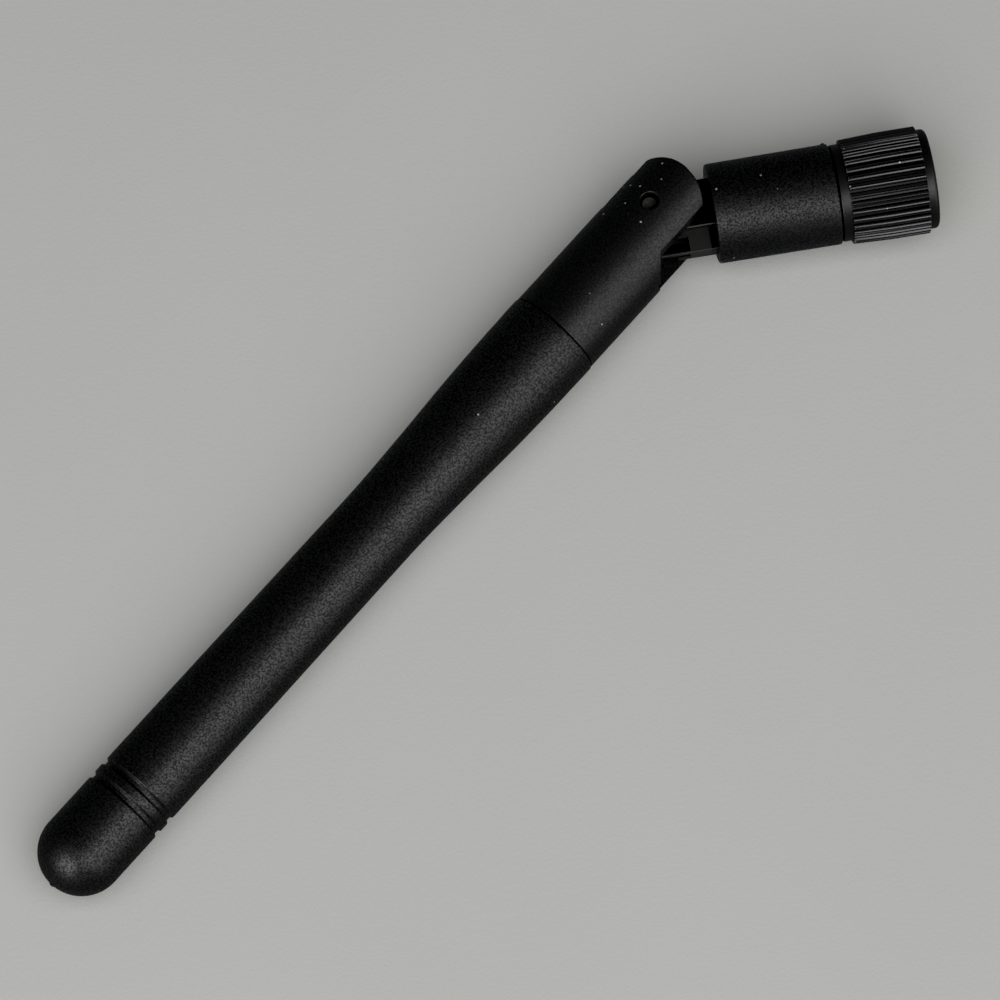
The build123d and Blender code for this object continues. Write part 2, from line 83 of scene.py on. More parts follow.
# %% [markdown]
# ## The straight whip and the bent one
#
# The whip leans at an angle to the connector. Its pieces are easiest to describe while they are
# straight, along X, so each is worked out straight and then turned about the hinge pin. The pin's
# place and the angle come from the tilt joint: its lower limit is the straight pose.

# %% Millimetres, the pin and the bend
MM = 0.001
tilt = next(joint for joint in frame["joints"] if joint["name"] == "whip_tilt")
PIN = np.array(tilt["pos_m"]) / MM
BEND = math.radians(-tilt["range_deg"][0])


def turned_about_pin(points, angle):
    """Points turned about the hinge pin: x and y mix by the angle's cosine and sine, z stays."""
    offset = points - PIN
    x = offset[..., 0] * math.cos(angle) - offset[..., 1] * math.sin(angle)
    y = offset[..., 0] * math.sin(angle) + offset[..., 1] * math.cos(angle)
    return np.stack([x, y, offset[..., 2]], axis=-1) + PIN


def node_points(node):
    """A CAD node's vertices in millimetres, as rows."""
    mesh = frame["nodes"][node].data
    flat = np.empty(len(mesh.vertices) * 3, np.float32)
    mesh.vertices.foreach_get("co", flat)
    return flat.reshape(-1, 3).astype(float) / MM


def whip_span(node):
    """Lowest and highest x of a whip node after it is turned back straight."""
    x = turned_about_pin(node_points(node), -BEND)[:, 0]
    return float(x.min()), float(x.max())


def plain_span(node):
    """Lowest and highest x of a node on the connector's axis."""
    low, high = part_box(node)
    return low.x / MM, high.x / MM


print("pin at", PIN.round(3), "bend", round(math.degrees(BEND), 2))

# %% [markdown]
# ## Surfaces from grids
#
# Every new piece is a grid of points, worked out as whole arrays. Rows run along a profile and
# columns run round. One function joins neighbouring points into four-sided faces, merges points
# that fall together at a pole, and turns the faces outwards if the volume they enclose comes out
# negative.

# %% Grid to mesh


def grid_faces(rows, columns, wrap_rows):
    """Corner numbers of the four-sided faces of a grid whose columns close round."""
    row = np.arange(rows if wrap_rows else rows - 1)[:, None]
    column = np.arange(columns)[None, :]
    next_row, next_column = (row + 1) % rows, (column + 1) % columns
    corners = [row * columns + column, row * columns + next_column,
               next_row * columns + next_column, next_row * columns + column]
    return np.stack(np.broadcast_arrays(*corners), axis=-1).reshape(-1, 4)


def enclosed_volume(points, faces):
    """Sum of the signed pyramids from the origin over each face's two triangles."""
    a, b, c, d = (points[faces[:, i]] for i in range(4))
    first = np.einsum("ij,ij->i", a, np.cross(b, c))
    second = np.einsum("ij,ij->i", a, np.cross(c, d))
    return float((first + second).sum() / 6)


def make_piece(name, grid, body, material, stands_for=(), wrap_rows=False, sharp=None):
    """A mesh object from a grid of points in millimetres, riding on a body if one is given."""
    rows, columns = grid.shape[:2]
    points = grid.reshape(-1, 3) * MM
    faces = grid_faces(rows, columns, wrap_rows)
    if enclosed_volume(points, faces) < 0:
        faces = faces[:, ::-1]
    mesh = bpy.data.meshes.new(name)
    mesh.from_pydata(points.tolist(), [], faces.tolist())
    merged = bmesh.new()
    merged.from_mesh(mesh)
    bmesh.ops.remove_doubles(merged, verts=merged.verts, dist=1e-7)
    merged.to_mesh(mesh)
    merged.free()
    piece = bpy.data.objects.new(name, mesh)
    scene.collection.objects.link(piece)
    mesh.shade_smooth()
    if sharp is not None:
        mesh.set_sharp_from_angle(angle=math.radians(sharp))
    even = piece.modifiers.new("even shading", "WEIGHTED_NORMAL")
    even.keep_sharp = True
    mesh.materials.append(material)
    if body:
        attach(piece, body)
    if stands_for:
        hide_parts(*stands_for)
    print(f"{name}: {len(faces)} faces on {body or 'two bodies'}")
    return piece


# %% [markdown]
# ## Profiles with rounded corners
#
# No moulded or turned edge is truly sharp. A profile is a list of (x, radius, rounding) corners,
# and each corner with a rounding becomes an arc that is tangent to both of its sides. Long sides
# are then divided, so that small unevenness along them has points to act on.

# %% Profile helpers


def corner_arc(before, corner, after, rounding, steps):
    """Points of the arc of one radius that touches both sides of a corner.

    The touching points lie at the radius over the tangent of the half angle from the corner, and
    the centre lies on the bisector, at the radius over its sine.
    """
    to_before = (before - corner) / np.linalg.norm(before - corner)
    to_after = (after - corner) / np.linalg.norm(after - corner)
    half = math.acos(float(np.clip(to_before @ to_after, -1, 1))) / 2
    bisector = (to_before + to_after) / np.linalg.norm(to_before + to_after)
    centre = corner + bisector * rounding / math.sin(half)
    start = corner + to_before * rounding / math.tan(half) - centre
    end = corner + to_after * rounding / math.tan(half) - centre
    share = np.linspace(0, 1, steps + 1)[:, None]
    turn = math.pi - 2 * half
    return centre + (np.sin((1 - share) * turn) * start + np.sin(share * turn) * end) / math.sin(turn)


def rounded_profile(corners, steps=5, closed=False):
    """Polyline of (x, radius) points with every corner that has a rounding made an arc."""
    places = [np.array(corner[:2], float) for corner in corners]
    pieces = []
    for i, corner in enumerate(corners):
        rounding = corner[2] if len(corner) > 2 else 0
        inner = closed or 0 < i < len(corners) - 1
        if rounding and inner:
            before, after = places[i - 1], places[(i + 1) % len(places)]
            pieces.append(corner_arc(before, places[i], after, rounding, steps))
        else:
            pieces.append(places[i][None, :])
    return np.concatenate(pieces)


def divided(profile, longest):
    """The same polyline with every side cut into equal parts no longer than the given length."""
    lengths = np.linalg.norm(np.diff(profile, axis=0), axis=1)
    counts = np.maximum(1, np.ceil(lengths / longest).astype(int))
    parts = [np.linspace(profile[i], profile[i + 1], count, endpoint=False)
             for i, count in enumerate(counts)]
    return np.concatenate(parts + [profile[-1:]])


def round_grid(profile, angles, rise=None):
    """Profile of (x, radius) carried round X: y and z are the radius times cosine and sine.

    rise, if given, is a function of x and angle that is added to the radius.
    """
    x, radius = profile[:, :1], profile[:, 1:2]
    radius = np.broadcast_to(radius, (len(profile), len(angles)))
    if rise is not None:
        radius = radius + rise(x, angles[None, :], radius)
    return np.stack([np.broadcast_to(x, radius.shape), radius * np.cos(angles),
                     radius * np.sin(angles)], axis=-1)


def even_angles(count):
    """Equally spaced angles round the axis, starting from the side along +Y."""
    return np.linspace(0, 2 * math.pi, count, endpoint=False)


def smooth_step(value):
    """0 below 0, 1 above 1, and the cubic 3v2 - 2v3 between them."""
    v = np.clip(value, 0, 1)
    return v * v * (3 - 2 * v)


def wander(x, seed, scale):
    """Gentle unevenness along x: four sine waves with seeded phases, about one unit high."""
    rng = np.random.default_rng(seed)
    waves = rng.uniform(0.4, 1.6, 4) / scale
    phases = rng.uniform(0, 2 * math.pi, 4)
    return sum(np.sin(2 * math.pi * w * x + p) for w, p in zip(waves, phases)) / 2.5


# %% [markdown]
# ## Shader maths as expressions
#
# A material's pattern is arithmetic on noise, so a small class wraps a socket and lets Python
# operators add the Math nodes. One method makes every other node: it takes the node's type, the
# settings that must come first, and the values or links of its sockets.

# %% Shader expressions


class Value:
    """One output socket of a node tree, with arithmetic."""

    def __init__(self, sheet, socket):
        self.sheet, self.socket = sheet, socket

    def _math(self, operation, *values):
        sockets = dict(enumerate(values))
        return self.sheet.node("ShaderNodeMath", {"operation": operation}, sockets)

    def __add__(self, other):
        return self._math("ADD", self, other)

    def __sub__(self, other):
        return self._math("SUBTRACT", self, other)

    def __rsub__(self, other):
        return self._math("SUBTRACT", other, self)

    def __mul__(self, other):
        return self._math("MULTIPLY", self, other)

    def step(self, low, high):
        """0 at low, 1 at high, smooth between; high may be the smaller one."""
        sockets = {"Value": self, "From Min": low, "From Max": high}
        return self.sheet.node("ShaderNodeMapRange", {"interpolation_type": "SMOOTHSTEP"}, sockets)

    __radd__ = __add__
    __rmul__ = __mul__


class Finish:
    """A material with one Principled shader, whose patterns read the piece's own coordinates."""

    def __init__(self, name):
        self.material = bpy.data.materials.new(name)
        self.material.use_nodes = True
        self.tree = self.material.node_tree
        self.tree.nodes.clear()
        self.shader = self.tree.nodes.new("ShaderNodeBsdfPrincipled")
        output = self.tree.nodes.new("ShaderNodeOutputMaterial")
        self.tree.links.new(self.shader.outputs[0], output.inputs["Surface"])
        self.place = self.node("ShaderNodeTexCoord", {}, {}, "Object")

    def fill(self, socket, value):
        """Links a socket to a value, or writes a plain number or colour on it."""
        if isinstance(value, Value):
            self.tree.links.new(value.socket, socket)
        else:
            socket.default_value = value

    def node(self, kind, settings, sockets, output=0):
        """Makes a node, sets its settings, then fills its sockets."""
        made = self.tree.nodes.new(kind)
        for key, value in settings.items():
            setattr(made, key, value)
        for key, value in sockets.items():
            self.fill(made.inputs[key], value)
        return Value(self, made.outputs[output])

    def moved(self, rotation=(0, 0, 0), scale=(1, 1, 1)):
        """The piece's coordinates, turned or stretched by a Mapping node."""
        sockets = {"Vector": self.place, "Rotation": rotation, "Scale": scale}
        return self.node("ShaderNodeMapping", {}, sockets)

    def noise(self, size, detail=2.0, roughness=0.5, place=None):
        """Noise whose features are about so many millimetres across."""
        sockets = {"Vector": place or self.place, "Scale": 1 / (size * MM), "Detail": detail,
                   "Roughness": roughness}
        return self.node("ShaderNodeTexNoise", {}, sockets)

    def cells(self, size, feature="F1"):
        """Distance to the nearest of scattered points, about so many millimetres apart."""
        sockets = {"Vector": self.place, "Scale": 1 / (size * MM)}
        return self.node("ShaderNodeTexVoronoi", {"feature": feature}, sockets)

    def blend(self, share, first, second):
        """A colour between two, by a share; a Mix node's colours are its sockets 6 and 7."""
        first, second = (colour if isinstance(colour, Value) else (*colour, 1.0)
                         for colour in (first, second))
        return self.node("ShaderNodeMix", {"data_type": "RGBA"}, {0: share, 6: first, 7: second}, 2)

    def bump(self, height, depth, before=None):
        """Normals tilted by a height of 0 to 1 that stands for so many millimetres."""
        sockets = {"Height": height, "Strength": 1.0, "Distance": depth * MM}
        if before is not None:
            sockets["Normal"] = before
        return self.node("ShaderNodeBump", {}, sockets)

    def set(self, **values):
        """Sets or links the shader's own sockets; underscores stand for spaces."""
        for key, value in values.items():
            self.fill(self.shader.inputs[key.replace("_", " ")], value)
        return self.material


# %% [markdown]
# ## Camera
#
# The view is that of a long lens a little in front of straight above. The camera's place is worked
# out from the hinge pin, and its right-hand side runs nearly along the connector.

# %% Camera
RIGHT = np.array([0.9858, -0.168, 0.0])
UPWARD = np.array([0.168, 0.9858, 0.0])
VIEW_CENTRE = PIN + np.array([-19.7, -26.7, 0.0])
LEAN, SIDE_LEAN = 0.244, 0.01    # how far in front and to the right, for each unit of height
LENS, SENSOR = 220.0, 36.0
VIEW_WIDTH = 99.6                # millimetres across the picture at the pin's height


def aim_camera():
    """Places the camera on the line of sight and turns it so that its right side is RIGHT."""
    sight = SIDE_LEAN * RIGHT - LEAN * UPWARD + np.array([0.0, 0.0, 1.0])
    sight = sight / np.linalg.norm(sight)
    distance = LENS / SENSOR * VIEW_WIDTH
    place = VIEW_CENTRE + sight * distance
    side = RIGHT - sight * (RIGHT @ sight)
    side = side / np.linalg.norm(side)
    top = np.cross(sight, side)
    lens = bpy.data.cameras.new("camera")
    lens.lens, lens.sensor_width = LENS, SENSOR
    lens.clip_start, lens.clip_end = 0.01, 10.0
    camera = bpy.data.objects.new("camera", lens)
    scene.collection.objects.link(camera)
    rows = np.column_stack([side, top, sight, place * MM])
    camera.matrix_world = Matrix([*rows.tolist(), [0, 0, 0, 1]])
    scene.camera = camera
    print("camera", (place * MM).round(4))


aim_camera()

# %% [markdown]
# ## Floor and light
#
# The antenna lies on its grip and its tip, which have different radii, so the floor is a plane
# tilted by the small angle between their undersides. Black plastic needs far more light than a
# pale floor. So three soft lights, at the right, at the front left and above, light the antenna
# alone, a fourth lights the floor alone, and reflections leave the floor out. A dim grey surround
# fills the shadows, and a small black level keeps the deepest tones dark.

# %% Floor
sleeve_low, sleeve_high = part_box("knurled_sleeve")
GRIP_POINT = np.array([(sleeve_low.x + sleeve_high.x) / 2, 0.0, sleeve_low.z]) / MM
tip_x, _ = whip_span("radome")
TIP_RADIUS = 4.41
tip_centre = turned_about_pin(np.array([tip_x + TIP_RADIUS, 0.0, 0.0]), BEND)
TIP_POINT = tip_centre - np.array([0.0, 0.0, TIP_RADIUS])
FLOOR_SIZE = 4000.0


def make_floor(material):
    """A square plane through the two points that the antenna rests on."""
    along = TIP_POINT - GRIP_POINT
    along = along / np.linalg.norm(along)
    across = np.cross([0.0, 0.0, 1.0], along)
    across = across / np.linalg.norm(across)
    corners = [GRIP_POINT + FLOOR_SIZE * (a * along + b * across)
               for a, b in ((-1, -1), (1, -1), (1, 1), (-1, 1))]
    mesh = bpy.data.meshes.new("floor")
    mesh.from_pydata((np.array(corners) * MM).tolist(), [], [(0, 3, 2, 1)])
    floor = bpy.data.objects.new("floor", mesh)
    mesh.materials.append(material)
    scene.collection.objects.link(floor)
    floor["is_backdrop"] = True
    return floor


def paper_grey():
    """Matt grey card: a faint cloudiness in tone and a very fine tooth."""
    finish = Finish("paper grey")
    cloud = finish.noise(30.0, 2.0, 0.5)
    tone = finish.blend(cloud, (0.63, 0.635, 0.605), (0.66, 0.665, 0.640))
    tooth = finish.noise(0.35, 3.0, 0.6)
    return finish.set(Base_Color=tone, Roughness=0.8, Normal=finish.bump(tooth, 0.035))


floor = make_floor(paper_grey())
floor.visible_glossy = False

# %% Lights


def soft_light(name, direction, distance, size, power, lit):
    """A square area light that looks at the middle of the view and lights one collection."""
    data = bpy.data.lights.new(name, "AREA")
    data.shape, data.size, data.energy = "SQUARE", size * MM, power
    light = bpy.data.objects.new(name, data)
    way = direction[0] * RIGHT + direction[1] * UPWARD + direction[2] * np.array([0.0, 0.0, 1.0])
    way = way / np.linalg.norm(way)
    place = (VIEW_CENTRE + way * distance) * MM
    light.matrix_world = Vector(way).to_track_quat("Z", "Y").to_matrix().to_4x4()
    light.location = place
    light.visible_camera = False
    scene.collection.objects.link(light)
    light.light_linking.receiver_collection = lit
    print(name, "of", power, "W for", lit.name)


floor_only = bpy.data.collections.new("floor only")
floor_only.objects.link(floor)
not_floor = bpy.data.collections.new("all but the floor")
not_floor.objects.link(floor)
not_floor.collection_objects[0].light_linking.link_state = "EXCLUDE"
soft_light("window light", (0.83, -0.35, 0.46), 800.0, 760.0, 2.2, not_floor)
soft_light("front light", (-0.542, -0.679, 0.496), 800.0, 420.0, 3.4, not_floor)
soft_light("top light", (0.33, -0.52, 0.78), 800.0, 520.0, 2.1, not_floor)
soft_light("floor light", (0.04, -0.52, 1.0), 650.0, 1000.0, 5.0, floor_only)
surround = bpy.data.worlds.new("surround")
surround.use_nodes = True
glow = surround.node_tree.nodes["Background"].inputs
glow["Color"].default_value = (0.72, 0.74, 0.76, 1.0)
glow["Strength"].default_value = 0.10
scene.world = surround

# %% Tones
BLACK_LEVEL = 0.0038
scene.view_settings.view_transform = "Standard"
scene.view_settings.use_curve_mapping = True
scene.view_settings.curve_mapping.black_level = (BLACK_LEVEL,) * 3
scene.view_settings.curve_mapping.update()

# %% [markdown]
# ## Spark-eroded black plastic
#
# The mould of such a cover is eroded by sparks, which leaves a fine even grain of tiny craters. It
# is made of two sets of cells and a finer noise, as height, so the colour stays a deep black, only
# a little darker in the craters' bottoms as painted shade. The rubbed tops of the grain glint: they
# are a thin coat whose weight is a noise. Handling leaves the grain a little shinier in places, and
# lint leaves a few pale specks.

# %% Spark-eroded finishes
# Painted shade: the craters' bottoms are a little darker than the grain's tops.
CRATER_SHADE_BLACK, GRAIN_BLACK = (0.0025, 0.0025, 0.0025), (0.0040, 0.0040, 0.0038)
LINT = (0.45, 0.45, 0.42)
SPECK_SPACING = 1.5
HANDLED_ROUGHNESS, PLAIN_ROUGHNESS = 0.36, 0.42


def specks(finish, share):
    """Rare small dots: cells whose nearest point is very close, thinned by a larger noise."""
    dots = finish.cells(SPECK_SPACING).step(0.075, 0.055)
    rare = finish.noise(SPECK_SPACING * 1.9, 1.0, 0.5).step(1 - share, 1 - share + 0.02)
    return dots * rare


def sparked_plastic(name, grain, depth, contrast, dusty):
    """Black moulded plastic with a spark-eroded grain of a given size and depth."""
    finish = Finish(name)
    craters = finish.cells(grain, "SMOOTH_F1")
    small = finish.cells(grain * 0.55)
    fine = finish.noise(grain * 0.5, 3.0, 0.65)
    height = craters * 0.45 + small * 0.30 + fine * 0.25
    soft_wave = finish.noise(6.0, 2.0, 0.5)
    grain_normal = finish.bump(height, depth, finish.bump(soft_wave, 0.03))
    worn = finish.noise(9.0, 3.0, 0.6).step(0.35, 0.75)
    # painted shade in the craters: the nearer a crater's middle, the darker the black
    tone = finish.blend(craters, CRATER_SHADE_BLACK, GRAIN_BLACK)
    tone = finish.blend(specks(finish, dusty), tone, LINT)
    glint = finish.noise(grain, 2.0, 0.7).step(0.40, 0.62) * contrast + (1 - contrast) / 2
    roughness = PLAIN_ROUGHNESS - worn * (PLAIN_ROUGHNESS - HANDLED_ROUGHNESS) + fine * 0.08
    return finish.set(Base_Color=tone, Roughness=roughness, Normal=grain_normal,
                      Specular_IOR_Level=0.22, Coat_Weight=glint, Coat_Roughness=PLAIN_ROUGHNESS)


radome_finish = sparked_plastic("radome plastic", 0.21, 0.050, 1.0, 0.36)
cap_finish = sparked_plastic("cap plastic", 0.19, 0.034, 0.6, 0.52)
collar_finish = sparked_plastic("collar plastic", 0.20, 0.075, 1.0, 0.52)

# %% [markdown]
# ## Smooth black plastic
#
# The grip, the tongue and the pin come from polished moulds, so they have no grain: only broad,
# faint marks where the plastic flowed, and fine scratches from rubbing. Fingers have polished the
# backs of the grip's ridges. The tongue's colour holds painted light and shade: a lit grey on its
# web, and black, a little glossier, on the spine, in the fork's shade, and beside the collar, in
# the collar's shadow.

# %% Smooth finishes
DEEP_BLACK, FLOW_BLACK = (0.0028, 0.0028, 0.0028), (0.0045, 0.0045, 0.0043)
SATIN_DEPTH = 0.006
POLISHED_RADII = 5.10, 5.25          # the grip is dull inside the first, polished past the second
# Where the tongue's painted shade begins: below the pin, and before the collar in its shadow.
SPINE_BELOW_PIN = 2.7
SHADE_BEFORE_COLLAR = 0.65


def flow_and_scratches(finish):
    """Flow marks, as noise of 3 mm, and scratches, as fine noise stretched along X."""
    flow = finish.noise(3.0, 3.0, 0.55)
    return flow, finish.noise(0.25, 2.0, 0.6, finish.moved(scale=(0.08, 1.0, 1.0)))


def handled_plastic():
    """Satin plastic whose ridges are polished by fingers: gloss grows with distance from X."""
    finish = Finish("grip plastic")
    flat = finish.moved(scale=(0.0, 1.0, 1.0))
    radius = finish.node("ShaderNodeVectorMath", {"operation": "LENGTH"}, {0: flat}, "Value")
    polish_and_painted_shade = radius.step(POLISHED_RADII[0] * MM, POLISHED_RADII[1] * MM)
    flow, scratched = flow_and_scratches(finish)
    tone = finish.blend(flow, DEEP_BLACK, FLOW_BLACK)
    tone = finish.blend(specks(finish, 0.50), tone, LINT)
    height = flow * 0.6 + scratched * 0.4
    return finish.set(Base_Color=tone, Roughness=0.34 - polish_and_painted_shade * 0.12 + scratched * 0.10,
                      Normal=finish.bump(height, SATIN_DEPTH), Specular_IOR_Level=0.5,
                      Coat_Weight=polish_and_painted_shade, Coat_Roughness=0.22)


def tongue_plastic():
    """Satin plastic painted a lit grey, with painted shade in black on the spine and by the collar."""
    finish = Finish("tongue plastic")
    along = finish.node("ShaderNodeSeparateXYZ", {}, {0: finish.place}, "X")
    across = finish.node("ShaderNodeSeparateXYZ", {}, {0: finish.place}, "Y")
    spine_side = (PIN[1] - SPINE_BELOW_PIN) * MM
    neck = (plain_span("base_collar")[0] - SHADE_BEFORE_COLLAR) * MM
    # Painted shade: the spine, in the ear's shade, and the band before the collar, in its shadow.
    spine = across.step(spine_side - 0.03 * MM, spine_side + 0.03 * MM)
    beside = along.step(neck - 0.08 * MM, neck + 0.08 * MM)
    polish_and_painted_shade = 1 - (1 - spine) * (1 - beside)
    flow = finish.noise(1.2, 3.0, 0.55)
    fine = finish.noise(0.12, 2.0, 0.6)
    # Painted light and shade: dull is the lit grey, mottled by the flow; black is where shade falls.
    dull = finish.blend(flow, (0.017, 0.017, 0.0155), (0.024, 0.024, 0.022))
    tone = finish.blend(polish_and_painted_shade, dull, DEEP_BLACK)
    height = flow * 0.7 + fine * 0.3
    return finish.set(Base_Color=tone, Roughness=0.40 - polish_and_painted_shade * 0.12,
                      Normal=finish.bump(height, SATIN_DEPTH), Specular_IOR_Level=0.4)


def pin_plastic():
    """Satin plastic, a little greyer, with flow marks, scratches and a very fine tooth."""
    finish = Finish("pin plastic")
    flow, scratched = flow_and_scratches(finish)
    fine = finish.noise(0.12, 2.0, 0.6)
    tone = finish.blend(flow, (0.070, 0.070, 0.066), (0.110, 0.110, 0.105))
    height = flow * 0.6 + scratched * 0.2 + fine * 0.2
    return finish.set(Base_Color=tone, Roughness=0.40 + scratched * 0.12,
                      Normal=finish.bump(height, SATIN_DEPTH), Specular_IOR_Level=0.5)


grip_finish = handled_plastic()
tongue_finish = tongue_plastic()
pin_finish = pin_plastic()
print("plastics:", [finish.name for finish in (radome_finish, cap_finish, collar_finish, grip_finish,
                                               tongue_finish, pin_finish)])

# %% [markdown]
# ## Round covers
#
# The radome, the collar and the grip are bodies of revolution with an inside, so each is one
# closed loop of profile carried round the axis. A two-part mould leaves a hair-thin raised line
# along both sides where its halves met. It stands on a skin that is lowered by its height, so the
# cover is no wider than its CAD solid.

# %% The mould's parting line
LINE_HEIGHT = 0.030
LINE_WIDTH = 0.055


def angles_with_lines(count):
    """Even angles, with a few more close to both sides where the mould's halves met."""
    near = np.radians([-2.2, -1.5, -1.0, -0.6, -0.3, 0.3, 0.6, 1.0, 1.5, 2.2])
    extra = np.concatenate([near, near + math.pi])
    angles = np.concatenate([even_angles(count), extra]) % (2 * math.pi)
    return np.sort(angles)


def parting_line(x, angle, radius, seed):
    """Height above the lowered skin: a bell curve of the arc from either side, uneven along x."""
    beside = np.abs((angle + math.pi / 2) % math.pi - math.pi / 2) * radius
    uneven = 0.72 + 0.28 * wander(x, seed, 5.0)
    return LINE_HEIGHT * uneven * np.exp(-(beside / LINE_WIDTH) ** 2) - LINE_HEIGHT


# %% [markdown]
# ## Radome
#
# The long cover hides the radiating parts. From the round tip its wall is nearly straight, with
# two ring grooves, and then it flares in a slow S to the cap. The S is a smooth curve through
# four measured radii, found with the same kind of spline that a draughtsman bends. The tip keeps
# the little stub where plastic entered the mould.

# %% Radome
radome_low, radome_seam = whip_span("radome")
TIP_CENTRE = radome_low + TIP_RADIUS
TAPER = ((13.7, 4.40), (43.7, 4.30))
FLARE = ((43.7, 4.30), (51.8, 4.54), (59.9, 4.91), (67.0, 5.06))
GROOVES = (6.33, 8.09)
GROOVE_WIDTH, GROOVE_FLOOR, GROOVE_DEPTH = 0.85, 0.50, 0.27
RINGED_LENGTH, RING_STEP = 12.0, 0.06    # the grooved part of the skin needs rows close together
BORE, SOCKET_BORE, SOCKET_LENGTH = 3.3, 3.97, 6.3
GATE_RADIUS, GATE_HEIGHT = 0.30, 0.12


def smooth_through(points, count):
    """Curve through points, level at both ends: cubic pieces with slopes from the neighbours."""
    place, value = np.array(points).T
    slope = np.gradient(value, place)
    slope[0] = slope[-1] = 0.0
    x = np.linspace(place[0], place[-1], count)
    i = np.clip(np.searchsorted(place, x) - 1, 0, len(place) - 2)
    gap = place[i + 1] - place[i]
    t = (x - place[i]) / gap
    y = ((1 + 2 * t) * (1 - t) ** 2 * value[i] + t * (1 - t) ** 2 * gap * slope[i]
         + t * t * (3 - 2 * t) * value[i + 1] + t * t * (t - 1) * gap * slope[i + 1])
    return np.column_stack([x, y])


def groove_depth(x):
    """How deep the two tip grooves are at a distance from the tip's centre, with soft sides."""
    depth = np.zeros_like(x)
    half, flat = GROOVE_WIDTH / 2, GROOVE_FLOOR / 2
    for place in GROOVES:
        beside = np.abs(x - place)
        depth = depth + GROOVE_DEPTH * (1 - smooth_step((beside - flat + 0.06) / (half - flat + 0.10)))
    return depth


def radome_profile():
    """Outer skin from the tip's pole to the seam, then the bore back to its own pole."""
    polar = np.linspace(0, math.pi / 2, 44)
    tip = np.column_stack([-TIP_RADIUS * np.cos(polar), TIP_RADIUS * np.sin(polar)])
    ring = np.arange(0.15, RINGED_LENGTH, RING_STEP)
    rings = np.column_stack([ring, np.interp(ring, [0, TAPER[0][0]], [TIP_RADIUS, TAPER[0][1]])])
    rings[:, 1] -= groove_depth(ring)
    straight = divided(np.array([(RINGED_LENGTH, rings[-1, 1]), *TAPER]), 0.7)[:-1]
    flare = smooth_through(FLARE, 48)[:-1]
    seam = radome_seam - TIP_CENTRE
    corners = [FLARE[-1], (seam, FLARE[-1][1], 0.32), (seam, SOCKET_BORE, 0.1),
               (seam - SOCKET_LENGTH, SOCKET_BORE), (seam - SOCKET_LENGTH - 5, BORE), (0.0, BORE)]
    edge = divided(rounded_profile(corners, 6), 2.5)
    polar = np.linspace(math.pi / 2, 0, 16)[1:]
    inside = np.column_stack([-BORE * np.cos(polar), BORE * np.sin(polar)])
    skin = len(tip) + len(rings) + len(straight) + len(flare) + 1
    profile = np.concatenate([tip, rings, straight, flare, edge, inside])
    profile[:, 0] += TIP_CENTRE
    return profile, skin


def radome_grid():
    """The profile carried round, with the parting line on the skin and the stub at the pole."""
    profile, skin = radome_profile()
    angles = angles_with_lines(224)
    on_skin = (np.arange(len(profile)) < skin)[:, None]
    line = parting_line(profile[:, :1], angles[None, :], profile[:, 1:2], 11)
    lowered = np.clip(profile[:, 1:2] / 1.5, 0, 1)
    grid = round_grid(profile, angles, lambda x, angle, radius: line * lowered * on_skin)
    off_axis = np.hypot(grid[..., 1], grid[..., 2])
    stub = GATE_HEIGHT * (1 - smooth_step((off_axis - GATE_RADIUS + 0.1) / 0.16))
    grid[..., 0] -= np.where((grid[..., 0] < TIP_CENTRE - 3.5) & on_skin, stub, 0)
    return turned_about_pin(grid, BEND)


make_piece("antenna_radome", radome_grid(), "whip", radome_finish, ["radome"])

# %% [markdown]
# ## Collar
#
# The collar is a plain sleeve whose front wall turns on the connector. Its rims are rounded, and
# near the front edge a crumb of plastic was left when the runner was broken off.

# %% Collar
collar_back, collar_front = plain_span("base_collar")
COLLAR_BACK_RADIUS, COLLAR_FRONT_RADIUS = 5.07, 5.12
RUNNING_BORE, COLLAR_BORE, COLLAR_WALL = 2.66, 4.0, 1.3


def collar_grid():
    """A closed loop: outside with rounded rims, the end wall, and the wide bore behind it."""
    corners = [(collar_back, COLLAR_BORE, 0.08), (collar_back, COLLAR_BACK_RADIUS, 0.28),
               (collar_front, COLLAR_FRONT_RADIUS, 0.28), (collar_front, RUNNING_BORE, 0.08),
               (collar_front - COLLAR_WALL, RUNNING_BORE, 0.08),
               (collar_front - COLLAR_WALL, COLLAR_BORE, 0.1)]
    loop = rounded_profile(corners, 6, closed=True)
    loop = divided(np.concatenate([loop, loop[:1]]), 0.5)[:-1]
    return round_grid(loop, even_angles(224))


make_piece("swivel_collar", collar_grid(), "base", collar_finish,
           ["base_collar"], wrap_rows=True)
print("collar from", round(collar_back, 2), "to", round(collar_front, 2))

# %% Crumb by the collar's edge
CRUMB_BEFORE_EDGE = 0.42
CRUMB_ANGLE = math.radians(12.0)
CRUMB_REACH = np.array([0.21, 0.13, 0.17])


def crumb_grid():
    """A lump of three half-widths, uneven by a wave round it, half sunk in the collar's side."""
    polar = np.linspace(0, math.pi, 13)[:, None]
    around = even_angles(24)[None, :]
    uneven = 1 + 0.20 * np.sin(polar) * np.sin(3 * around + 2 * polar)
    x, along = np.cos(polar) * uneven, np.sin(polar) * np.cos(around) * uneven
    up = np.sin(polar) * np.sin(around) * uneven
    out = COLLAR_FRONT_RADIUS + CRUMB_REACH[1] * along
    angle = CRUMB_ANGLE + CRUMB_REACH[2] * up / COLLAR_FRONT_RADIUS
    place_x = collar_front - CRUMB_BEFORE_EDGE + CRUMB_REACH[0] * x
    return np.stack([place_x, out * np.cos(angle), out * np.sin(angle)], axis=-1)


make_piece("moulding_crumb", crumb_grid(), "base", grip_finish)

# %% [markdown]
# ## Ridged grip
#
# The grip is a plastic sleeve pressed over the hexagonal nut. Fingers turn it by its ridges, so
# they are rounded, with narrow flutes between them and a fine groove along each back. Two profiles
# are drawn, one along a flute and one along a ridge, and each column of the grid mixes them by the
# height of the ridge at its angle. A ridge is half a superellipse across: steep sides and a round
# back.

